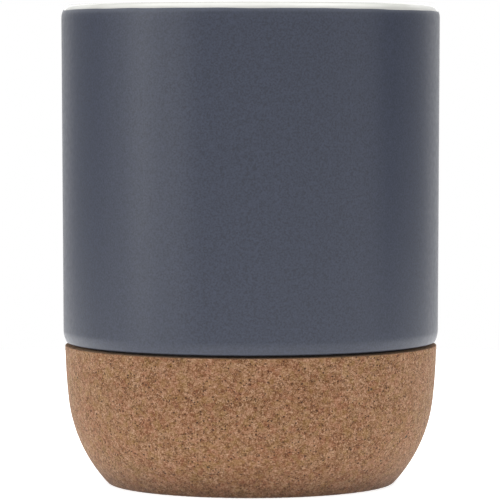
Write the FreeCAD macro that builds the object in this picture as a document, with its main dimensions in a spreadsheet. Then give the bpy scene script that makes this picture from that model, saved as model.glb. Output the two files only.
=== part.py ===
"""Straight-sided stoneware cup with a glazed white lip and a glued cork base.

Every piece is turned about the Z axis. Millimetres, +Z up, origin at the centre of the flat bottom.
"""
import FreeCAD
import Part
import Sketcher
import math
import os

DIMENSIONS = {
    # the whole cup
    "cup_height": 101.2,
    "wall_radius_top": 39.95,      # outside of the finished wall, where the lip begins
    "wall_radius_low": 39.68,      # the same where the lower corner begins: a little draft
    "glaze_depth": 0.25,
    # the lip: two side arcs and a smaller arc over the crest
    "lip_half_width": 2.05,
    "lip_rise": 2.8,
    "lip_side_radius": 3.6,
    "white_edge_height": 99.92,    # outside, where the white glaze meets the slate glaze
    # the lower corner of the ceramic and the shoulder that stands over the cork
    "corner_height": 32.6,
    "corner_radius": 5.2,
    "shoulder_height": 29.94,
    "shoulder_edge": 0.5,          # rounding where the corner turns under to the shoulder
    # the inside of the bowl
    "taper_height": 60.0,          # the mouth is straight down to here
    "taper_radius": 180.0,
    "bowl_corner_radius": 13.0,
    "bowl_floor_height": 10.5,
    # the spigot that goes down into the cork
    "spigot_radius": 35.9,
    "spigot_corner_radius": 15.0,
    "foot_height": 6.2,
    "glue_gap": 0.2,
    # the cork base
    "cork_height": 29.31,
    "cork_top_radius": 39.34,
    "belly_height": 17.9,          # where the rounded belly turns into the nearly upright wall
    "belly_top_radius": 38.62,
    "belly_arc_radius": 30.85,
    "flare_arc_radius": 113.0,
    "base_corner_radius": 30.25,   # where belly and bottom would meet with no edge rounding
    "cork_top_edge": 0.2,
    "cork_bottom_edge": 0.9,
    # the glue
    "glue_ring_low": 21.4,
    "glue_ring_high": 28.4,
    "glue_disc_radius": 20.0,
}


class Size:
    """A length that knows its value and the sheet formula that it comes from."""

    def __init__(self, value, formula):
        self.value = value
        self.formula = formula

    def joined(self, sign, other, value):
        text = other.formula if isinstance(other, Size) else str(other)
        return Size(value, f"({self.formula} {sign} {text})")

    def __add__(self, other):
        return self.joined("+", other, self.value + number(other))

    def __sub__(self, other):
        return self.joined("-", other, self.value - number(other))

    def __mul__(self, other):
        return self.joined("*", other, self.value * number(other))

    def __truediv__(self, other):
        return self.joined("/", other, self.value / number(other))

    def root(self):
        return Size(math.sqrt(self.value), f"sqrt({self.formula})")


def number(length):
    return length.value if isinstance(length, Size) else float(length)


def make_sheet(document):
    """Puts the driving dimensions in a spreadsheet and returns them by name."""
    sheet = document.addObject("Spreadsheet::Sheet", "Dimensions")
    sizes = {}
    for row, (name, value) in enumerate(DIMENSIONS.items(), start=1):
        sheet.set(f"A{row}", name.replace("_", " "))
        sheet.set(f"B{row}", str(value))
        sheet.setAlias(f"B{row}", name)
        sizes[name] = Size(value, f"Dimensions.{name}")
    document.recompute()
    return sizes


class Path:
    """Points (radius, height) joined by straight runs and arcs.

    bends[i] is None for a straight run from points[i] to points[i + 1], or (arc radius, turn), where
    turn is 1 for an arc that turns left on its way and -1 for one that turns right.
    """

    def __init__(self, radius, height):
        self.points = [(radius, height)]
        self.bends = []

    def line_to(self, radius, height):
        self.points.append((radius, height))
        self.bends.append(None)
        return self

    def arc_to(self, radius, height, arc_radius, turn):
        self.points.append((radius, height))
        self.bends.append((arc_radius, turn))
        return self

    def follow(self, other):
        """Goes straight to the start of another path, unless it is there, and then along it."""
        if same_place(self.points[-1], other.points[0]):
            self.points += other.points[1:]
            self.bends += other.bends
        else:
            self.points += other.points
            self.bends += [None] + other.bends
        return self

    def reversed(self):
        back = Path(*self.points[-1])
        back.points = self.points[::-1]
        back.bends = [bend and (bend[0], -bend[1]) for bend in self.bends[::-1]]
        return back


def same_place(first, second):
    return math.dist([number(n) for n in first], [number(n) for n in second]) < 1e-7


def arc_between(start, end, radius, turn):
    """The arc of a radius from start to end that turns left (1) or right (-1)."""
    chord = end - start
    reach = math.sqrt(radius**2 - chord.Length**2 / 4)
    left = FreeCAD.Vector(-chord.y, chord.x, 0) / chord.Length
    centre = (start + end) / 2 + left * reach * turn
    middle = centre - left * radius * turn
    return Part.Arc(start, middle, end)


def draw_outline(sketch, path):
    """Draws a closed path in a sketch and binds every point and arc to the sheet."""
    places = [FreeCAD.Vector(number(r), number(h), 0) for r, h in path.points]
    bends = path.bends + [None]
    count = len(places)
    ends = []
    for i, bend in enumerate(bends):
        start, end = places[i], places[(i + 1) % count]
        if bend is None:
            sketch.addGeometry(Part.LineSegment(start, end))
            ends.append((1, 2))
        else:
            sketch.addGeometry(arc_between(start, end, number(bend[0]), bend[1]))
            ends.append((1, 2) if bend[1] > 0 else (2, 1))  # a sketch's arc always runs leftwards
    for i in range(count):
        following = (i + 1) % count
        sketch.addConstraint(Sketcher.Constraint("Coincident", i, ends[i][1], following, ends[following][0]))
    for i, (radius, height) in enumerate(path.points):
        if number(radius) == 0:
            sketch.addConstraint(Sketcher.Constraint("PointOnObject", i, ends[i][0], -2))
        else:
            bind(sketch, Sketcher.Constraint("DistanceX", -1, 1, i, ends[i][0], number(radius)), radius)
        if number(height) == 0:
            sketch.addConstraint(Sketcher.Constraint("PointOnObject", i, ends[i][0], -1))
        else:
            bind(sketch, Sketcher.Constraint("DistanceY", -1, 1, i, ends[i][0], number(height)), height)
    for i, bend in enumerate(bends):
        if bend is not None:
            bind(sketch, Sketcher.Constraint("Radius", i, number(bend[0])), bend[0])


def bind(sketch, constraint, size):
    index = sketch.addConstraint(constraint)
    if isinstance(size, Size):
        sketch.setExpression(f"Constraints[{index}]", size.formula)


def turned_piece(document, name, path):
    """A body turned about the Z axis from a closed outline in the XZ plane."""
    body = document.addObject("PartDesign::Body", name)
    body.Label = name
    body.Placement = FreeCAD.Placement()
    sketch = body.newObject("Sketcher::SketchObject", f"{name}_outline")
    plane = next(f for f in body.Origin.OriginFeatures if f.Role == "XZ_Plane")
    sketch.AttachmentSupport = [(plane, "")]
    sketch.MapMode = "FlatFace"
    draw_outline(sketch, path)
    turning = body.newObject("PartDesign::Revolution", f"{name}_turned")
    turning.Profile = sketch
    turning.ReferenceAxis = (sketch, ["V_Axis"])
    turning.Angle = 360
    body.Tip = turning
    document.recompute()
    return body


def round_edge(document, body, radius, height, size):
    """Rounds the turned edge that lies at a radius and a height."""
    before = body.Tip
    edges = [
        f"Edge{i}"
        for i, edge in enumerate(before.Shape.Edges, start=1)
        if isinstance(edge.Curve, Part.Circle)
        and abs(edge.Curve.Radius - number(radius)) < 1e-3
        and abs(edge.Curve.Center.z - number(height)) < 1e-3
    ]
    if not edges:
        raise RuntimeError(f"{body.Label}: no edge at radius {number(radius)}, height {number(height)}")
    rounding = body.newObject("PartDesign::Fillet", f"{body.Name}_edge_{round(number(height))}")
    rounding.Base = (before, edges)
    rounding.setExpression("Radius", size.formula)
    body.Tip = rounding
    document.recompute()
    if not rounding.Shape.isValid() or rounding.Shape.Volume >= before.Shape.Volume:
        raise RuntimeError(f"{body.Label}: the edge at height {number(height)} was not rounded")


# The surfaces of the ceramic. depth is how far under the finished surface they lie: zero for the
# face of a glaze, or the glaze's depth for the fired body under it.


def lip_parts(d, depth):
    """Centres and radii of the lip's arcs: outer side, crest and inner side."""
    middle = d["wall_radius_top"] - d["lip_half_width"]
    spring = d["cup_height"] - d["lip_rise"]
    side, half, rise = d["lip_side_radius"], d["lip_half_width"], d["lip_rise"]
    crest = (side * half * 2 - half * half - rise * rise) / ((side - rise) * 2)
    reach = side - half
    return {
        "spring": spring,
        "outer": (middle - reach, spring),
        "inner": (middle + reach, spring),
        "crest": (middle, d["cup_height"] - crest),
        "side_radius": side - depth,
        "crest_radius": crest - depth,
    }


def on_circle(centre, toward, radius, distance):
    """The point at a radius from a centre, in the direction of a second point a known distance away."""
    return tuple(c + (t - c) * radius / distance for c, t in zip(centre, toward))


def white_edge(d, depth):
    """Where the two glazes meet, on the lip's outer side."""
    lip = lip_parts(d, depth)
    centre, side = lip["outer"], d["lip_side_radius"]
    rise = d["white_edge_height"] - lip["spring"]
    finished = (centre[0] + (side * side - rise * rise).root(), d["white_edge_height"])
    return on_circle(centre, finished, lip["side_radius"], side)


def inside_surface(d, depth):
    """From the floor's centre up the bowl and over the lip to the edge of the white glaze."""
    lip = lip_parts(d, depth)
    zero = Size(0.0, "0")
    mouth = d["wall_radius_top"] - d["lip_half_width"] * 2
    taper_centre = (mouth - d["taper_radius"], d["taper_height"])
    corner_height = d["bowl_floor_height"] + d["bowl_corner_radius"]
    gap = d["taper_radius"] - d["bowl_corner_radius"]
    drop = d["taper_height"] - corner_height
    corner_centre = (taper_centre[0] + (gap * gap - drop * drop).root(), corner_height)
    taper_radius = d["taper_radius"] + depth
    joint = on_circle(taper_centre, corner_centre, taper_radius, gap)
    arcs_apart = d["lip_side_radius"] - (lip["crest_radius"] + depth)
    inner_join = on_circle(lip["inner"], lip["crest"], lip["side_radius"], arcs_apart)
    outer_join = on_circle(lip["outer"], lip["crest"], lip["side_radius"], arcs_apart)
    floor = d["bowl_floor_height"] - depth
    path = Path(zero, floor)
    path.line_to(corner_centre[0], floor)
    path.arc_to(*joint, d["bowl_corner_radius"] + depth, 1)
    path.arc_to(mouth + depth, d["taper_height"], taper_radius, 1)
    path.line_to(mouth + depth, lip["spring"])
    path.arc_to(*inner_join, lip["side_radius"], -1)
    path.arc_to(*outer_join, lip["crest_radius"], -1)
    path.arc_to(*white_edge(d, depth), lip["side_radius"], -1)
    return path


def outside_surface(d, depth):
    """From the edge of the white glaze down the wall, round the corner and under to the shoulder."""
    lip = lip_parts(d, depth)
    corner = (d["wall_radius_low"] - d["corner_radius"], d["corner_height"])
    radius = d["corner_radius"] - depth
    edge_height = d["shoulder_height"] + d["shoulder_edge"]
    gap = d["corner_radius"] - d["shoulder_edge"]
    drop = d["corner_height"] - edge_height
    edge = (corner[0] + (gap * gap - drop * drop).root(), edge_height)
    path = Path(*white_edge(d, depth))
    path.arc_to(d["wall_radius_top"] - depth, lip["spring"], lip["side_radius"], -1)
    path.line_to(corner[0] + radius, d["corner_height"])
    path.arc_to(*on_circle(corner, edge, radius, gap), radius, -1)
    return path.arc_to(edge[0], d["shoulder_height"] + depth, d["shoulder_edge"] - depth, -1)


def spigot_surface(d, clearance):
    """The ceramic's lower part, or the cork's recess for it at a clearance, down to the axis."""
    radius = d["spigot_radius"] + clearance
    corner = d["spigot_corner_radius"] + clearance
    foot = d["foot_height"] - clearance
    path = Path(radius, d["foot_height"] + d["spigot_corner_radius"])
    path.arc_to(d["spigot_radius"] - d["spigot_corner_radius"], foot, corner, -1)
    path.line_to(Size(0.0, "0"), foot)
    return path


def stoneware_outline(d):
    depth = d["glaze_depth"]
    path = inside_surface(d, depth).follow(outside_surface(d, depth))
    path.line_to(path.points[-1][0], d["shoulder_height"])
    path.line_to(d["spigot_radius"], d["shoulder_height"])
    return path.follow(spigot_surface(d, 0))


def coat_outline(surface, d):
    """A glaze: the finished surface and, back along it, the fired body's surface."""
    return surface(d, 0).follow(surface(d, d["glaze_depth"]).reversed())


def cork_outline(d):
    recess = d["spigot_radius"] + d["glue_gap"]
    path = Path(recess, d["cork_height"])
    path.follow(spigot_surface(d, d["glue_gap"]))
    path.line_to(Size(0.0, "0"), Size(0.0, "0"))
    path.line_to(d["base_corner_radius"], Size(0.0, "0"))
    path.arc_to(d["belly_top_radius"], d["belly_height"], d["belly_arc_radius"], 1)
    return path.arc_to(d["cork_top_radius"], d["cork_height"], d["flare_arc_radius"], 1)


def glue_ring_outline(d):
    outer = d["spigot_radius"] + d["glue_gap"]
    path = Path(d["spigot_radius"], d["glue_ring_low"])
    path.line_to(outer, d["glue_ring_low"])
    path.line_to(outer, d["glue_ring_high"])
    return path.line_to(d["spigot_radius"], d["glue_ring_high"])


def glue_disc_outline(d):
    low = d["foot_height"] - d["glue_gap"]
    zero = Size(0.0, "0")
    path = Path(zero, low)
    path.line_to(d["glue_disc_radius"], low)
    path.line_to(d["glue_disc_radius"], d["foot_height"])
    return path.line_to(zero, d["foot_height"])


def check(document, bodies):
    for thing in document.Objects:
        if "Invalid" in thing.State or "Error" in thing.State:
            raise RuntimeError(f"{thing.Name} failed: {thing.State}")
    for body in bodies:
        if body.Shape.isNull() or not body.Shape.isValid() or len(body.Shape.Solids) != 1:
            raise RuntimeError(f"{body.Label} is not one valid solid")


def main():
    document = FreeCAD.newDocument("cork_base_cup")
    d = make_sheet(document)
    stoneware = turned_piece(document, "stoneware_body", stoneware_outline(d))
    liner = turned_piece(document, "glaze_white_liner", coat_outline(inside_surface, d))
    coat = turned_piece(document, "glaze_slate_outer", coat_outline(outside_surface, d))
    cork = turned_piece(document, "cork_base", cork_outline(d))
    round_edge(document, cork, d["cork_top_radius"], d["cork_height"], d["cork_top_edge"])
    round_edge(document, cork, d["base_corner_radius"], 0, d["cork_bottom_edge"])
    ring = turned_piece(document, "adhesive_ring", glue_ring_outline(d))
    disc = turned_piece(document, "adhesive_disc", glue_disc_outline(d))
    bodies = [stoneware, liner, coat, cork, ring, disc]
    document.recompute()
    check(document, bodies)
    os.makedirs("parts", exist_ok=True)
    for body in bodies:
        body.Shape.exportStep(f"parts/{body.Label}.step")
        print(f"{body.Label}: {body.Shape.Volume / 1000:.2f} ml")


main()
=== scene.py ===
import math

import bpy
import numpy as np
from mathutils import Matrix, Vector


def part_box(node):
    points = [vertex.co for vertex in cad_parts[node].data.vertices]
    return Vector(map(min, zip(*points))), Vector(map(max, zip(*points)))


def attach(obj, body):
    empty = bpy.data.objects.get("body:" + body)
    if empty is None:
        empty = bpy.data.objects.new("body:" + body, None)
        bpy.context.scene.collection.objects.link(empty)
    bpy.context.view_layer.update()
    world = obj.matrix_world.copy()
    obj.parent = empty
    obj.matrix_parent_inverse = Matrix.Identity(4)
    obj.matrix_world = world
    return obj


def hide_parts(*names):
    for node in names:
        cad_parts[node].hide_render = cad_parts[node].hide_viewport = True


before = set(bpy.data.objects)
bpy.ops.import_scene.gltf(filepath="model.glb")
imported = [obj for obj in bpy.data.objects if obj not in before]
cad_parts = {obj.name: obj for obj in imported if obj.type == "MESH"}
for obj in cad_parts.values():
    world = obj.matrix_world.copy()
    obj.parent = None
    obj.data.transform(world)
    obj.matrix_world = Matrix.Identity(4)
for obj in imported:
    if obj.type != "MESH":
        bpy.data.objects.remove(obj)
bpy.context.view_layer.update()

# A stoneware cup with a matte slate outside, a white gloss inside and lip, and a cork base.
# Metres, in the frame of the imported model. Every piece is turned about the Z axis.

MM = 0.001
SLATE_LOW, SLATE_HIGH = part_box("glaze_slate_outer")
WHITE_LOW, WHITE_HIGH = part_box("glaze_white_liner")
CORK_LOW, CORK_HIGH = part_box("cork_base")
RING_LOW, RING_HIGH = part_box("adhesive_ring")
DISC_LOW, DISC_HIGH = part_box("adhesive_disc")

GLAZE = 0.25 * MM               # depth of either glaze
LIP_HALF_WIDTH = 2.05 * MM
LIP_RISE = 2.8 * MM
LIP_SIDE_RADIUS = 3.6 * MM
WALL_DRAFT = 0.27 * MM          # how much narrower the wall is at the lower corner
CORNER_RISE = 2.66 * MM         # from the shoulder to where the wall begins
CORNER_RADIUS = 5.2 * MM
SHOULDER_EDGE = 0.5 * MM        # rounding where the corner turns under to the shoulder
TAPER_HEIGHT = 60.0 * MM        # the mouth is straight down to here
TAPER_RADIUS = 180.0 * MM
BOWL_CORNER_RADIUS = 13.0 * MM
SPIGOT_CORNER_RADIUS = 15.0 * MM
BELLY_HEIGHT = 17.9 * MM
BELLY_TOP_RADIUS = 38.62 * MM
BELLY_ARC_RADIUS = 30.85 * MM
FLARE_ARC_RADIUS = 113.0 * MM
BASE_CORNER_RADIUS = 30.25 * MM  # where belly and bottom would meet with no rounding
CORK_TOP_RADIUS = 39.34 * MM
CORK_TOP_EDGE = 0.13 * MM
CORK_BOTTOM_EDGE = 0.9 * MM

# How finely the meshes are cut
CORK_STEP = 0.33 * MM
CORK_HIDDEN_STEP = 3.0 * MM     # across the bottom and down the recess
CORK_SEGMENTS = 740
LIP_STEP = 0.25 * MM
WALL_STEP = 2.0 * MM
CUP_SEGMENTS = 288
SHARP_GLAZE_EDGE = 40           # degrees: a sharper edge stays crisp
SHARP_CORK_EDGE = 60

# The line between the two glazes
EDGE_SEED = 6613
EDGE_WAVES = (2, 3, 5, 9, 14, 23)  # waves round the cup
EDGE_WANDER = 0.113 * MM
EDGE_TILT = 0.17 * MM           # how much higher the line is on the -X side, and lower on the +X side

# Cork. The sizes of holes, bark flecks and their edges are shares of their spacing.
GRAIN = 0.52 * MM
FINE_GRAIN = 0.21 * MM
GRAIN_FLATNESS = 1.15           # the granules are pressed this much flatter than they are wide
SEAM_WIDTH = 0.14               # as a share of a granule
GAP_PATCH = 1.0 * MM            # seams open into gaps in patches of this size
GAP_BEGINS, GAP_OPEN = 0.49, 0.62  # in the noise that lays out the patches
HOLE_SPACING = 0.62 * MM
HOLE_CELLS = 0.5                # half of the spaces have a hole
LARGEST_HOLE = 0.45
HOLE_EDGE = 0.14
BARK_SPACING = 3.7 * MM
BARK_CELLS = 0.7                # and seven in ten have a bark fleck
LARGEST_BARK = 0.12
BARK_EDGE = 0.03
HOLE_DEPTH = 0.08 * MM
BARK_DEPTH = 0.15 * MM
GAP_DEPTH = 0.05 * MM
SEAM_DEPTH = 0.015 * MM
GRAIN_DEPTH = 0.015 * MM
GRIT_DEPTH = 0.03 * MM
CARVED_MARGIN = 0.3 * MM        # the relief begins this far out from the recess
CARVED_HEIGHT = 3.0 * MM        # below this height all of the cork is carved, the bottom included

# Colours are named by their 0 to 255 screen values.
COARSE_SHARE = 0.38             # how much of a spot's tone comes from its granule; the rest is fine grain
CORK_TONES = (
    (0.0, (91, 51, 14)), (0.25, (123, 84, 47)), (0.5, (155, 117, 84)),
    (0.75, (179, 142, 111)), (1.0, (200, 165, 136)),
)
CORK_CLOUD = 2.5 * MM
CORK_CLOUD_SWING = 0.07         # in tone, either way
CLUMP = 1.2 * MM                # granules of like hue lie together over this distance
REDDISH, REDDISH_SHARE = (172, 100, 76), 0.16
GOLDEN, GOLDEN_SHARE = (154, 122, 62), 0.3
RUSTY_PATCH = 5.0 * MM
RUSTY, RUSTY_SHARE = (172, 94, 74), 0.1
CORK_MARKS = (
    # feature, how much of the granules' colour it hides, colour
    ("seam", 0.25, (96, 60, 32)),
    ("gap", 0.78, (70, 34, 8)),
    ("hole", 0.85, (62, 30, 10)),
    ("bark", 0.85, (58, 54, 42)),
)
# Painted shade near the table, in place of the cork's contact shadow: its colour, height, falloff, strength
# and patches
PAINTED_BASE_SHADE = (62, 32, 12)
PAINTED_SHADE_HEIGHT = 11.0 * MM       # painted shade: the cork darkens from here down to the table, standing in for its contact shadow
PAINTED_SHADE_FALLOFF = 2.2
PAINTED_SHADE_LEAST, PAINTED_SHADE_MOST = 0.56, 0.94
PAINTED_SHADE_PATCH = 1.5 * MM

SLATE_TONES = ((0.3, (37, 42, 55)), (0.7, (52, 58, 75)))
SLATE_MOTTLE = 0.37 * MM
SLATE_ROUGHNESS, SLATE_ROUGH_PATCH = (0.34, 0.4), 1.2 * MM
SLATE_RIPPLE, SLATE_RIPPLE_DEPTH = 0.35 * MM, 0.004 * MM
# Paler slate: thin glaze under the lip; round the lower corner partly thin glaze and partly painted light
THIN_SLATE_AND_PAINTED_LIGHT = (104, 108, 118)
THIN_UNDER_LIP = (
    # depth under the slate's upper edge where it starts to thin, depth where it is thinnest, by how much
    (1.1 * MM, 0.0, 0.44),
    (2.6 * MM, 1.0 * MM, 0.05),
)
# Round the lower corner the paler slate is partly thin glaze and partly painted light, where the corner turns
# under into shade and takes the floor's reflection
CORNER_THIN_AND_PAINTED_LIGHT = (
    # the same, as heights over its lower edge
    (3.0 * MM, 0.8 * MM, 0.06),
    (0.7 * MM, 0.1 * MM, 0.15),
)

WHITE_TONES = ((0.3, (215, 215, 209)), (0.7, (221, 221, 216)))
WHITE_CLOUD = 6.0 * MM
WHITE_ROUGHNESS, WHITE_ROUGH_PATCH = (0.12, 0.2), 2.0 * MM
WHITE_RIPPLE, WHITE_RIPPLE_DEPTH = 4.0 * MM, 0.02 * MM
THIN_WHITE, THIN_WHITE_SHARE = (168, 168, 164), 0.6
THIN_WHITE_HEIGHT = 0.8 * MM    # the white thins from this height over the slate's upper edge
THIN_WHITE_REACH = 0.5 * MM     # and is at its thinnest this far outside the lip's middle

# Painted shade: the clay is coloured dark because it shows only in the shadowed gap over the cork
STONEWARE_GAP_SHADE_TONES = ((0.3, (60, 54, 50)), (0.7, (80, 73, 68)))
STONEWARE_GRIT, STONEWARE_GRIT_DEPTH = 0.4 * MM, 0.03 * MM
ADHESIVE_TONES = ((0.3, (36, 32, 28)), (0.7, (56, 50, 44)))
ADHESIVE_SMEAR, ADHESIVE_SMEAR_DEPTH = 2.0 * MM, 0.1 * MM

# Surroundings
FLOOR_RADIUS = 0.36
FLOOR_SIDES = 96
FLOOR_GLOW = 0.8
FLOOR_TONES = ((0.3, (226, 226, 226)), (0.7, (229, 229, 229)))
FLOOR_CLOUD = 0.3
ROOM_LIGHT = 0.085              # how brightly the room lights things, where the camera sees it as 1
SOFTBOX_DISTANCE = 1.3
SOFTBOXES = (
    # name, azimuth and elevation in degrees, width and height in metres, power in watts
    ("overhead", 0, 89.9, 1.6, 1.6, 15.8),
    ("high_left", -100, 50, 0.8, 0.8, 1.8),
    ("high_right", 90, 60, 0.8, 0.8, 4.2),
    ("key_back", -90, 8, 0.4, 1.2, 1.4),
    ("key", -68, 8, 0.4, 1.2, 4.5),
    ("key_side", -45, 8, 0.4, 1.2, 3.0),
    ("fill", 15, 8, 2.4, 1.2, 7.7),
    ("fill_side", 70, 8, 0.6, 1.2, 2.2),
    ("side_right", 116, 8, 0.9, 1.2, 1.1),
    ("side_left", -120, 8, 0.8, 1.2, 1.1),
    ("back_left", -153, 8, 0.7, 1.2, 2.0),
    ("back", 180, 14, 0.8, 1.2, 2.4),
    ("back_right", 152, 8, 0.9, 1.2, 2.9),
)

# Camera: the sensor and the lens are in millimetres, everything else in metres and radians
CAMERA_SENSOR = 36.0
CAMERA_LENS = 260.3
CAMERA_NEAREST, CAMERA_FARTHEST = 0.01, 60.0
CAMERA_PLACE = (-0.15 * MM, -765.5 * MM, 88.6 * MM)
CAMERA_TILT = math.radians(2.9376)
CAMERA_ROLL = math.radians(-0.03)


# ---------------------------------------------------------------- outlines

class Outline:
    """A profile of (radius, height) points, with its straight runs and arcs cut into short steps."""

    def __init__(self, radius, height):
        self.points = [np.array([radius, height])]

    def line_to(self, radius, height, step=None):
        start, end = self.points[-1], np.array([radius, height])
        count = max(1, round(np.linalg.norm(end - start) / step)) if step else 1
        for i in range(1, count + 1):
            self.points.append(start + (end - start) * i / count)
        return self

    def arc_to(self, radius, height, arc_radius, turn, step):
        """An arc of a radius that turns left (1) or right (-1) on its way."""
        start, end = self.points[-1], np.array([radius, height])
        chord = end - start
        length = np.linalg.norm(chord)
        left = np.array([-chord[1], chord[0]]) / length
        centre = (start + end) / 2 + left * turn * math.sqrt(arc_radius**2 - length**2 / 4)
        angle = 2 * math.asin(length / 2 / arc_radius)
        count = max(2, round(angle * arc_radius / step))
        for i in range(1, count + 1):
            c, s = math.cos(turn * angle * i / count), math.sin(turn * angle * i / count)
            spoke = start - centre
            self.points.append(centre + np.array([c * spoke[0] - s * spoke[1], s * spoke[0] + c * spoke[1]]))
        return self

    def follow(self, other):
        skip = 1 if np.allclose(self.points[-1], other.points[0], atol=1e-9) else 0
        self.points += other.points[skip:]
        return self

    def reversed(self):
        self.points = self.points[::-1]
        return self


def toward(centre, target, radius):
    """The point at a radius from a centre in the direction of another point."""
    way = np.subtract(target, centre)
    return np.add(centre, way / np.linalg.norm(way) * radius)


LIP_MIDDLE = SLATE_HIGH.x - LIP_HALF_WIDTH
LIP_SPRING = WHITE_HIGH.z - LIP_RISE
LIP_REACH = LIP_SIDE_RADIUS - LIP_HALF_WIDTH
LIP_OUTER = np.array([LIP_MIDDLE - LIP_REACH, LIP_SPRING])
LIP_INNER = np.array([LIP_MIDDLE + LIP_REACH, LIP_SPRING])
CREST_RADIUS = ((2 * LIP_SIDE_RADIUS * LIP_HALF_WIDTH - LIP_HALF_WIDTH**2 - LIP_RISE**2)
                / (2 * (LIP_SIDE_RADIUS - LIP_RISE)))
LIP_CREST = np.array([LIP_MIDDLE, WHITE_HIGH.z - CREST_RADIUS])
EDGE_ANGLE = math.asin((SLATE_HIGH.z - LIP_SPRING) / LIP_SIDE_RADIUS)
CREST_ANGLE = math.atan2(LIP_CREST[1] - LIP_OUTER[1], LIP_CREST[0] - LIP_OUTER[0])


def white_edge(depth):
    """Where the two glazes meet, at a depth under the finished surface."""
    return LIP_OUTER + (LIP_SIDE_RADIUS - depth) * np.array([math.cos(EDGE_ANGLE), math.sin(EDGE_ANGLE)])


def inside_surface(depth, fine, coarse):
    """From the floor's centre up the bowl and over the lip to the edge of the white glaze."""
    floor = WHITE_LOW.z + GLAZE
    mouth = LIP_MIDDLE - LIP_HALF_WIDTH
    taper_centre = np.array([mouth - TAPER_RADIUS, TAPER_HEIGHT])
    gap = TAPER_RADIUS - BOWL_CORNER_RADIUS
    drop = TAPER_HEIGHT - floor - BOWL_CORNER_RADIUS
    corner_centre = np.array([taper_centre[0] + math.sqrt(gap**2 - drop**2), floor + BOWL_CORNER_RADIUS])
    side = LIP_SIDE_RADIUS - depth
    path = Outline(0.0, floor - depth)
    path.line_to(corner_centre[0], floor - depth, coarse)
    corner_top = toward(taper_centre, corner_centre, TAPER_RADIUS + depth)
    path.arc_to(*corner_top, BOWL_CORNER_RADIUS + depth, 1, coarse)
    path.arc_to(mouth + depth, TAPER_HEIGHT, TAPER_RADIUS + depth, 1, coarse)
    path.line_to(mouth + depth, LIP_SPRING, coarse)
    path.arc_to(*toward(LIP_INNER, LIP_CREST, side), side, -1, fine)
    path.arc_to(*toward(LIP_OUTER, LIP_CREST, side), CREST_RADIUS - depth, -1, fine)
    return path.arc_to(*white_edge(depth), side, -1, fine)


def outside_surface(depth, fine, coarse):
    """From the edge of the white glaze down the wall and round the corner to the shoulder."""
    low = SLATE_HIGH.x - WALL_DRAFT
    corner = np.array([low - CORNER_RADIUS, SLATE_LOW.z + CORNER_RISE])
    gap = CORNER_RADIUS - SHOULDER_EDGE
    edge_height = SLATE_LOW.z + SHOULDER_EDGE
    edge = np.array([corner[0] + math.sqrt(gap**2 - (corner[1] - edge_height)**2), edge_height])
    radius = CORNER_RADIUS - depth
    path = Outline(*white_edge(depth))
    path.arc_to(SLATE_HIGH.x - depth, LIP_SPRING, LIP_SIDE_RADIUS - depth, -1, fine)
    path.line_to(low - depth, corner[1], coarse)
    path.arc_to(*toward(corner, edge, radius), radius, -1, fine)
    return path.arc_to(edge[0], SLATE_LOW.z + depth, SHOULDER_EDGE - depth, -1, fine / 3)


def cork_outline(fine, coarse):
    """The bottom from its centre, the belly, the top edge and the recess down to its floor's centre."""
    foot, belly_top = np.array([BASE_CORNER_RADIUS, CORK_LOW.z]), np.array([BELLY_TOP_RADIUS, BELLY_HEIGHT])
    chord = belly_top - foot
    left = np.array([-chord[1], chord[0]]) / np.linalg.norm(chord)
    belly = (foot + belly_top) / 2 + left * math.sqrt(BELLY_ARC_RADIUS**2 - np.dot(chord, chord) / 4)
    gap = BELLY_ARC_RADIUS - CORK_BOTTOM_EDGE
    edge_height = CORK_LOW.z + CORK_BOTTOM_EDGE
    edge = np.array([belly[0] + math.sqrt(gap**2 - (belly[1] - edge_height)**2), edge_height])
    recess, floor = RING_HIGH.x, DISC_LOW.z
    corner = SPIGOT_CORNER_RADIUS + DISC_HIGH.z - DISC_LOW.z
    path = Outline(0.0, CORK_LOW.z)
    path.line_to(edge[0], CORK_LOW.z, coarse)
    path.arc_to(*toward(belly, edge, BELLY_ARC_RADIUS), CORK_BOTTOM_EDGE, 1, fine)
    path.arc_to(*belly_top, BELLY_ARC_RADIUS, 1, fine)
    path.arc_to(CORK_TOP_RADIUS, CORK_HIGH.z - CORK_TOP_EDGE, FLARE_ARC_RADIUS, 1, fine)
    path.arc_to(CORK_TOP_RADIUS - CORK_TOP_EDGE, CORK_HIGH.z, CORK_TOP_EDGE, 1, CORK_TOP_EDGE / 3)
    path.line_to(recess, CORK_HIGH.z, fine)
    path.line_to(recess, floor + corner, coarse)
    path.arc_to(recess - corner, floor, corner, -1, coarse)
    return path.line_to(0.0, floor)


# ---------------------------------------------------------------- turned meshes

def waves(angles, seed, amplitude, counts):
    """A gentle wander round the cup: a few sine waves of random phase and size."""
    draw = np.random.default_rng(seed)
    total = np.zeros_like(angles)
    for count in counts:
        total += draw.uniform(0.4, 1.0) * np.sin(count * angles + draw.uniform(0, 2 * math.pi))
    return amplitude * total / math.sqrt(len(counts))


def hand_glazed(angles, radius, height):
    """Moves the points of the lip's outer side so that the line between the glazes wanders up and down."""
    side = (radius > LIP_MIDDLE) & (height > LIP_SPRING)
    turn = np.arctan2(height - LIP_SPRING, radius - LIP_OUTER[0])
    spoke = np.hypot(height - LIP_SPRING, radius - LIP_OUTER[0])
    on_arc = side & (turn > 0) & (turn < CREST_ANGLE)
    below = np.clip(turn / EDGE_ANGLE, 0, 1)
    above = np.clip((CREST_ANGLE - turn) / (CREST_ANGLE - EDGE_ANGLE), 0, 1)
    wander = waves(angles, EDGE_SEED, EDGE_WANDER, EDGE_WAVES)
    drift = (wander - EDGE_TILT * np.cos(angles)) / LIP_SIDE_RADIUS
    turned = turn + drift * np.minimum(below, above)
    radius = np.where(on_arc, LIP_OUTER[0] + spoke * np.cos(turned), radius)
    height = np.where(on_arc, LIP_SPRING + spoke * np.sin(turned), height)
    return radius, height


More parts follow.
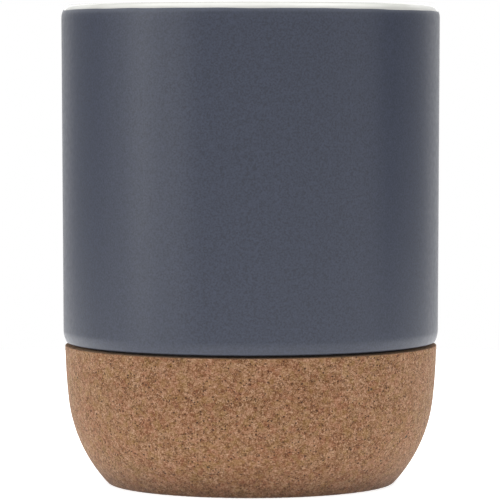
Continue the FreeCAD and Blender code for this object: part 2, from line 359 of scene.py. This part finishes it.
def turned_mesh(name, outline, segments, sharp, shape=None):
    """A closed mesh turned about the Z axis from an outline, which may start and end on the axis."""
    rows = np.array(outline.points)
    angles = np.arange(segments) * 2 * math.pi / segments
    radius = np.repeat(rows[:, :1], segments, axis=1)
    height = np.repeat(rows[:, 1:], segments, axis=1)
    if shape:
        radius, height = shape(angles, radius, height)
    points = np.stack([radius * np.cos(angles), radius * np.sin(angles), height], axis=-1)
    on_axis = rows[:, 0] < 1e-9
    vertices, numbers = [], []
    for row, single in zip(points, on_axis):
        start = len(vertices)
        vertices.extend(row[:1] if single else row)
        numbers.append([start] * segments if single else list(range(start, start + segments)))
    if not on_axis.any():
        numbers.append(numbers[0])
    faces = []
    for low, high in zip(numbers, numbers[1:]):
        for j in range(segments):
            k = (j + 1) % segments
            faces.append(list(dict.fromkeys((low[j], low[k], high[k], high[j]))))
    mesh = bpy.data.meshes.new(name)
    mesh.from_pydata(vertices, [], faces)
    mesh.validate()
    mesh.shade_smooth()
    mesh.set_sharp_from_angle(angle=math.radians(sharp))
    piece = bpy.data.objects.new(name, mesh)
    bpy.context.scene.collection.objects.link(piece)
    return piece


# ---------------------------------------------------------------- procedural patterns

class Pattern:
    """Adds nodes to a material's tree or to a relief's, at places given in metres."""

    def __init__(self, tree, place):
        self.tree = tree
        self.place = place

    def node(self, kind, values, **settings):
        made = self.tree.nodes.new(kind)
        for name, value in settings.items():
            setattr(made, name, value)
        for key, value in values.items():
            if isinstance(value, bpy.types.NodeSocket):
                self.tree.links.new(value, made.inputs[key])
            else:
                made.inputs[key].default_value = value
        return made

    def maths(self, operation, first, second=0.0):
        return self.node("ShaderNodeMath", {0: first, 1: second}, operation=operation).outputs[0]

    def moved(self, distance):
        """The place moved by a distance along every axis, so that like patterns don't coincide."""
        shift = (distance,) * 3
        return self.node("ShaderNodeVectorMath", {0: self.place, 1: shift}, operation="ADD").outputs[0]

    def noise(self, size, detail=2.0, shift=0.0):
        """Soft noise of about 0.3 to 0.7 with blobs of a size."""
        values = {"Vector": self.moved(shift), "Scale": 1 / size, "Detail": detail, "Roughness": 0.5}
        return self.node("ShaderNodeTexNoise", values).outputs["Fac"]

    def warped(self, size, reach):
        """The same patterns at places pushed about by noise, so that cells get uneven outlines."""
        push = self.node("ShaderNodeTexNoise", {"Vector": self.place, "Scale": 1 / size, "Detail": 1.0})
        centred = self.node("ShaderNodeVectorMath", {0: push.outputs["Color"], 1: (0.5,) * 3},
                            operation="SUBTRACT").outputs[0]
        scaled = self.node("ShaderNodeVectorMath", {0: centred, "Scale": reach}, operation="SCALE").outputs[0]
        place = self.node("ShaderNodeVectorMath", {0: self.place, 1: scaled}, operation="ADD").outputs[0]
        return Pattern(self.tree, place)

    def cells(self, size, shift=0.0, feature="F1"):
        """Random cells of a size: distance from the middle, and a random colour for each."""
        return self.node("ShaderNodeTexVoronoi", {"Vector": self.moved(shift), "Scale": 1 / size},
                         feature=feature).outputs

    def band(self, value, low, high, start=0.0, end=1.0):
        """Takes a value from low..high to start..end, smoothly, and holds it there."""
        values = {0: value, 1: low, 2: high, 3: start, 4: end}
        return self.node("ShaderNodeMapRange", values, interpolation_type="SMOOTHSTEP").outputs[0]

    def chance(self, cells, axis):
        """One of the three random numbers of 0 to 1 that a cell's random colour holds."""
        return self.node("ShaderNodeSeparateXYZ", {0: cells["Color"]}).outputs[axis]

    def shade(self, amount, under, over):
        """Covers one colour with another, named by its screen values, by an amount of 0 to 1."""
        values = {0: amount, 6: under, 7: srgb(*over)}
        return self.node("ShaderNodeMix", values, data_type="RGBA").outputs[2]

    def ramp(self, value, stops):
        """Colours along a value: stops are (position, screen values)."""
        made = self.node("ShaderNodeValToRGB", {0: value})
        elements = made.color_ramp.elements
        while len(elements) < len(stops):
            elements.new(1.0)
        for element, (position, colour) in zip(elements, stops):
            element.position, element.color = position, srgb(*colour)
        return made.outputs["Color"]


def srgb(red, green, blue):
    """A colour named by its 0 to 255 screen values, as the linear colour that a shader takes."""
    def linear(level):
        level /= 255
        return level / 12.92 if level <= 0.04045 else ((level + 0.055) / 1.055) ** 2.4
    return (linear(red), linear(green), linear(blue), 1.0)


def new_material(name, **uniform):
    """A material with a Principled shader, with what is the same all over set on its sockets."""
    material = bpy.data.materials.new(name)
    material.use_nodes = True
    tree = material.node_tree
    shader = next(n for n in tree.nodes if n.type == "BSDF_PRINCIPLED")
    for socket, value in uniform.items():
        shader.inputs[socket.replace("_", " ")].default_value = value
    place = tree.nodes.new("ShaderNodeTexCoord").outputs["Object"]
    return material, shader, Pattern(tree, place)


def bump(pattern, shader, height, distance):
    made = pattern.node("ShaderNodeBump", {"Height": height, "Distance": distance, "Strength": 1.0})
    pattern.tree.links.new(made.outputs["Normal"], shader.inputs["Normal"])


# ---------------------------------------------------------------- cork

def cork_features(pattern):
    """Granules, the seams and gaps between them, pinholes and dark bark flecks, each 0 to 1."""
    flattened = pattern.node("ShaderNodeVectorMath", {0: pattern.place, 1: (1.0, 1.0, GRAIN_FLATNESS)},
                             operation="MULTIPLY").outputs[0]
    pattern = Pattern(pattern.tree, flattened)
    grains = pattern.warped(size=0.7 * MM, reach=0.5 * MM)
    coarse = grains.cells(GRAIN)
    fine = grains.cells(FINE_GRAIN, shift=3 * MM)
    to_seam = grains.cells(GRAIN, feature="DISTANCE_TO_EDGE")["Distance"]
    seam = pattern.band(to_seam, 0.0, SEAM_WIDTH, 1.0, 0.0)
    open_seam = pattern.band(pattern.noise(GAP_PATCH, shift=23 * MM), GAP_BEGINS, GAP_OPEN)
    holes = grains.cells(HOLE_SPACING, shift=7 * MM)
    hole_size = pattern.band(pattern.chance(holes, "X"), 1 - HOLE_CELLS, 1.0, 0.0, LARGEST_HOLE)
    in_hole = pattern.maths("SUBTRACT", hole_size, holes["Distance"])
    bark = pattern.warped(size=0.5 * MM, reach=0.4 * MM).cells(BARK_SPACING, shift=11 * MM)
    bark_size = pattern.band(pattern.chance(bark, "Y"), 1 - BARK_CELLS, 1.0, 0.0, LARGEST_BARK)
    in_bark = pattern.maths("SUBTRACT", bark_size, bark["Distance"])
    return {
        "tone": pattern.chance(coarse, "X"),
        "hue": pattern.chance(grains.cells(CLUMP, shift=31 * MM), "Y"),
        "fine_tone": pattern.chance(fine, "Z"),
        "seam": seam,
        "gap": pattern.maths("MULTIPLY", seam, open_seam),
        "hole": pattern.band(in_hole, 0.0, HOLE_EDGE),
        "bark": pattern.band(in_bark, 0.0, BARK_EDGE),
    }


def cork_relief(piece):
    """Cuts granules, seams, pinholes and bark pits into the outside and the bottom of the cork."""
    group = bpy.data.node_groups.new("cork_relief", "GeometryNodeTree")
    group.interface.new_socket("Geometry", in_out="INPUT", socket_type="NodeSocketGeometry")
    group.interface.new_socket("Geometry", in_out="OUTPUT", socket_type="NodeSocketGeometry")
    start, end = group.nodes.new("NodeGroupInput"), group.nodes.new("NodeGroupOutput")
    position = group.nodes.new("GeometryNodeInputPosition").outputs[0]
    normal = group.nodes.new("GeometryNodeInputNormal").outputs[0]
    pattern = Pattern(group, position)
    shown = pattern.node("GeometryNodeInputNamedAttribute", {"Name": "shown"}, data_type="FLOAT").outputs[0]
    found = cork_features(pattern)
    depth = pattern.maths("MULTIPLY", found["hole"], HOLE_DEPTH)
    depth = pattern.maths("MAXIMUM", depth, pattern.maths("MULTIPLY", found["bark"], BARK_DEPTH))
    depth = pattern.maths("MAXIMUM", depth, pattern.maths("MULTIPLY", found["gap"], GAP_DEPTH))
    depth = pattern.maths("ADD", depth, pattern.maths("MULTIPLY", found["seam"], SEAM_DEPTH))
    depth = pattern.maths("ADD", depth, pattern.maths("MULTIPLY", found["tone"], GRAIN_DEPTH))
    inward = pattern.maths("MULTIPLY", pattern.maths("MULTIPLY", depth, shown), -1.0)
    offset = pattern.node("ShaderNodeVectorMath", {0: normal, "Scale": inward}, operation="SCALE").outputs[0]
    moved = pattern.node("GeometryNodeSetPosition", {"Geometry": start.outputs[0], "Offset": offset})
    group.links.new(moved.outputs[0], end.inputs[0])
    modifier = piece.modifiers.new("relief", "NODES")
    modifier.node_group = group
    carved = bpy.data.meshes.new_from_object(piece.evaluated_get(bpy.context.evaluated_depsgraph_get()))
    piece.modifiers.clear()
    piece.data = carved
    carved.name = piece.name


def make_cork():
    """The sleeve, cut finely where it is seen, with its relief and material."""
    outline = cork_outline(CORK_STEP, CORK_HIDDEN_STEP)
    piece = turned_mesh("cork_sleeve", outline, CORK_SEGMENTS, SHARP_CORK_EDGE)
    spots = np.empty(len(piece.data.vertices) * 3)
    piece.data.vertices.foreach_get("co", spots)
    spots = spots.reshape(-1, 3)
    outside = np.hypot(spots[:, 0], spots[:, 1]) > RING_HIGH.x + CARVED_MARGIN
    bottom = spots[:, 2] < CORK_LOW.z + CARVED_HEIGHT
    shown = piece.data.attributes.new("shown", "FLOAT", "POINT")
    shown.data.foreach_set("value", (outside | bottom).astype(float))
    cork_relief(piece)
    piece.data.materials.append(cork_material())
    return piece


def cork_material():
    """Granules of mixed tone and hue with dark marks, and painted shade that darkens them towards the table.
    """
    material, shader, pattern = new_material(
        "cork", Specular_IOR_Level=0.3, Roughness=0.8, Diffuse_Roughness=1.0,
        Sheen_Weight=0.22, Sheen_Roughness=0.3, Sheen_Tint=(1.0, 0.86, 0.7, 1.0))
    found = cork_features(pattern)
    coarse = pattern.maths("MULTIPLY", found["tone"], COARSE_SHARE)
    fine = pattern.maths("MULTIPLY", found["fine_tone"], 1 - COARSE_SHARE)
    cloud = pattern.noise(CORK_CLOUD, shift=37 * MM)
    cloud = pattern.band(cloud, 0.3, 0.7, -CORK_CLOUD_SWING, CORK_CLOUD_SWING)
    tone = pattern.maths("ADD", pattern.maths("ADD", coarse, fine), cloud)
    colour = pattern.ramp(tone, CORK_TONES)
    colour = pattern.shade(pattern.band(found["hue"], 0.55, 1.0, 0.0, REDDISH_SHARE), colour, REDDISH)
    colour = pattern.shade(pattern.band(found["hue"], 0.45, 0.0, 0.0, GOLDEN_SHARE), colour, GOLDEN)
    rusty = pattern.band(pattern.noise(RUSTY_PATCH, shift=17 * MM), 0.35, 0.65, 0.0, RUSTY_SHARE)
    colour = pattern.shade(rusty, colour, RUSTY)
    for feature, amount, mark in CORK_MARKS:
        colour = pattern.shade(pattern.maths("MULTIPLY", found[feature], amount), colour, mark)
    # Painted shade: darker towards the table, standing in for the contact shadow under the belly
    height = pattern.node("ShaderNodeSeparateXYZ", {0: pattern.place}).outputs["Z"]
    nearness = pattern.node("ShaderNodeMapRange", {0: height, 1: PAINTED_SHADE_HEIGHT, 2: 0.0}).outputs[0]
    blotch = pattern.band(pattern.noise(PAINTED_SHADE_PATCH, shift=29 * MM), 0.2, 0.7, PAINTED_SHADE_LEAST, PAINTED_SHADE_MOST)
    painted_shade = pattern.maths("MULTIPLY", pattern.maths("POWER", nearness, PAINTED_SHADE_FALLOFF), blotch)
    colour = pattern.shade(painted_shade, colour, PAINTED_BASE_SHADE)
    pattern.tree.links.new(colour, shader.inputs["Base Color"])
    grit = pattern.maths("SUBTRACT", found["fine_tone"], found["seam"])
    bump(pattern, shader, grit, GRIT_DEPTH)
    return material


# ---------------------------------------------------------------- ceramic and glue

def thinning(pattern, edge, way, bands):
    """How far a glaze has thinned near an edge's height, going up (1) or down (-1) from it."""
    height = pattern.node("ShaderNodeSeparateXYZ", {0: pattern.place}).outputs["Z"]
    return pattern.maths("ADD", *(pattern.band(height, edge + way * far, edge + way * near, 0.0, amount)
                                  for far, near, amount in bands))


def slate_material():
    """A matte glaze, speckled, and paler where it lies thin under the lip; round the lower corner it is paler
    partly from thin glaze and partly from painted light.
    """
    material, shader, pattern = new_material("slate_glaze", Specular_IOR_Level=0.48)
    colour = pattern.ramp(pattern.noise(SLATE_MOTTLE, detail=1.0), SLATE_TONES)
    under_lip = thinning(pattern, SLATE_HIGH.z, -1, THIN_UNDER_LIP)
    # Round the lower corner: thin glaze and painted light
    corner_thin_and_lit = thinning(pattern, SLATE_LOW.z, 1, CORNER_THIN_AND_PAINTED_LIGHT)
    colour = pattern.shade(pattern.maths("MAXIMUM", under_lip, corner_thin_and_lit), colour, THIN_SLATE_AND_PAINTED_LIGHT)
    pattern.tree.links.new(colour, shader.inputs["Base Color"])
    rough = pattern.band(pattern.noise(SLATE_ROUGH_PATCH, shift=5 * MM), 0.3, 0.7, *SLATE_ROUGHNESS)
    pattern.tree.links.new(rough, shader.inputs["Roughness"])
    bump(pattern, shader, pattern.noise(SLATE_RIPPLE, shift=9 * MM), SLATE_RIPPLE_DEPTH)
    return material


def white_material():
    """A warm white gloss, greyer where it runs out against the slate."""
    material, shader, pattern = new_material("white_glaze", Coat_Weight=0.1, Coat_Roughness=0.05)
    colour = pattern.ramp(pattern.noise(WHITE_CLOUD), WHITE_TONES)
    place = pattern.node("ShaderNodeSeparateXYZ", {0: pattern.place}).outputs
    squares = [pattern.maths("MULTIPLY", place[axis], place[axis]) for axis in ("X", "Y")]
    radius = pattern.maths("SQRT", pattern.maths("ADD", *squares))
    outer = pattern.band(radius, LIP_MIDDLE, LIP_MIDDLE + THIN_WHITE_REACH)
    low = pattern.band(place["Z"], SLATE_HIGH.z + THIN_WHITE_HEIGHT, SLATE_HIGH.z)
    thin = pattern.maths("MULTIPLY", pattern.maths("MULTIPLY", outer, low), THIN_WHITE_SHARE)
    colour = pattern.shade(thin, colour, THIN_WHITE)
    pattern.tree.links.new(colour, shader.inputs["Base Color"])
    rough = pattern.band(pattern.noise(WHITE_ROUGH_PATCH, shift=5 * MM), 0.3, 0.7, *WHITE_ROUGHNESS)
    pattern.tree.links.new(rough, shader.inputs["Roughness"])
    bump(pattern, shader, pattern.noise(WHITE_RIPPLE, shift=9 * MM), WHITE_RIPPLE_DEPTH)
    return material


def stoneware_material():
    """Bare fired clay, gritty, and dark as painted shade, since it shows only in the gap over the cork."""
    material, shader, pattern = new_material("stoneware", Roughness=0.8)
    grit = pattern.noise(STONEWARE_GRIT, detail=4.0)
    pattern.tree.links.new(pattern.ramp(grit, STONEWARE_GAP_SHADE_TONES), shader.inputs["Base Color"])
    bump(pattern, shader, grit, STONEWARE_GRIT_DEPTH)
    return material


def adhesive_material():
    """Dark cured glue, a little glossy and smeared."""
    material, shader, pattern = new_material("adhesive", Roughness=0.6)
    smear = pattern.noise(ADHESIVE_SMEAR)
    pattern.tree.links.new(pattern.ramp(smear, ADHESIVE_TONES), shader.inputs["Base Color"])
    bump(pattern, shader, smear, ADHESIVE_SMEAR_DEPTH)
    return material


def make_glazes():
    """The two coats, as closed shells that meet at the wandering line."""
    shells = []
    for surface in (outside_surface, inside_surface):
        back = surface(GLAZE, LIP_STEP, WALL_STEP).reversed()
        shells.append(surface(0, LIP_STEP, WALL_STEP).follow(back))
    outer = turned_mesh("slate_outer_coat", shells[0], CUP_SEGMENTS, SHARP_GLAZE_EDGE, hand_glazed)
    inner = turned_mesh("white_inner_coat", shells[1], CUP_SEGMENTS, SHARP_GLAZE_EDGE, hand_glazed)
    outer.data.materials.append(slate_material())
    inner.data.materials.append(white_material())
    return outer, inner


def cover_cad_node(name, material):
    """Gives a CAD node a material without touching its mesh."""
    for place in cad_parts[name].material_slots:
        place.link = "OBJECT"
        place.material = material


# ---------------------------------------------------------------- surroundings

def make_stage():
    """A round pale table that glows, as a light table does, in a room that looks white but lights little."""
    angles = np.linspace(0, 2 * math.pi, FLOOR_SIDES, endpoint=False)
    rim = [(FLOOR_RADIUS * math.cos(a), FLOOR_RADIUS * math.sin(a), 0) for a in angles]
    mesh = bpy.data.meshes.new("floor")
    mesh.from_pydata(rim, [], [list(range(FLOOR_SIDES))])
    floor = bpy.data.objects.new("floor", mesh)
    bpy.context.scene.collection.objects.link(floor)
    material, shader, pattern = new_material("floor", Roughness=0.9, Specular_IOR_Level=0.1,
                                             Emission_Color=(1, 1, 1, 1), Emission_Strength=FLOOR_GLOW)
    pattern.tree.links.new(pattern.ramp(pattern.noise(FLOOR_CLOUD), FLOOR_TONES), shader.inputs["Base Color"])
    mesh.materials.append(material)
    world = bpy.data.worlds.new("studio")
    world.use_nodes = True
    sky = world.node_tree.nodes["Background"]
    seen = world.node_tree.nodes.new("ShaderNodeLightPath").outputs["Is Camera Ray"]
    strength = world.node_tree.nodes.new("ShaderNodeMapRange")
    world.node_tree.links.new(seen, strength.inputs["Value"])
    strength.inputs["To Min"].default_value = ROOM_LIGHT
    strength.inputs["To Max"].default_value = 1.0
    world.node_tree.links.new(strength.outputs["Result"], sky.inputs["Strength"])
    sky.inputs["Color"].default_value = (1.0, 1.0, 1.0, 1.0)
    bpy.context.scene.world = world


def add_softbox(name, azimuth, elevation, width, height, power):
    """A rectangular soft light aimed at the cup; azimuth 0 is on the camera's side, 90 to its right."""
    lamp = bpy.data.lights.new(name, "AREA")
    lamp.shape, lamp.size, lamp.size_y, lamp.energy = "RECTANGLE", width, height, power
    away = Vector((math.sin(azimuth) * math.cos(elevation), -math.cos(azimuth) * math.cos(elevation),
                   math.sin(elevation)))
    middle = Vector((0, 0, WHITE_HIGH.z / 2))
    softbox = bpy.data.objects.new(name, lamp)
    softbox.location = middle + away * SOFTBOX_DISTANCE
    softbox.rotation_euler = (-away).to_track_quat("-Z", "Y").to_euler()
    softbox.visible_camera = False
    bpy.context.scene.collection.objects.link(softbox)


def make_camera():
    """A long lens from a little over the lip, looking slightly down."""
    lens = bpy.data.cameras.new("camera")
    lens.sensor_width = CAMERA_SENSOR
    lens.lens = CAMERA_LENS
    lens.clip_start, lens.clip_end = CAMERA_NEAREST, CAMERA_FARTHEST
    camera = bpy.data.objects.new("camera", lens)
    camera.location = CAMERA_PLACE
    aim = Matrix.Rotation(math.pi / 2 - CAMERA_TILT, 4, "X") @ Matrix.Rotation(CAMERA_ROLL, 4, "Z")
    camera.rotation_euler = aim.to_euler()
    bpy.context.scene.collection.objects.link(camera)
    bpy.context.scene.camera = camera


def main():
    bpy.context.scene.view_settings.view_transform = "Standard"
    make_stage()
    for name, azimuth, elevation, width, height, power in SOFTBOXES:
        add_softbox(name, math.radians(azimuth), math.radians(elevation), width, height, power)
    make_camera()
    cork = make_cork()
    slate, white = make_glazes()
    cover_cad_node("stoneware_body", stoneware_material())
    glue = adhesive_material()
    cover_cad_node("adhesive_ring", glue)
    cover_cad_node("adhesive_disc", glue)
    for piece, node, slot in ((cork, "cork_base", "cork"), (slate, "glaze_slate_outer", "slate_glaze"),
                              (white, "glaze_white_liner", "white_glaze")):
        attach(piece, "root")
        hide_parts(node)


main()
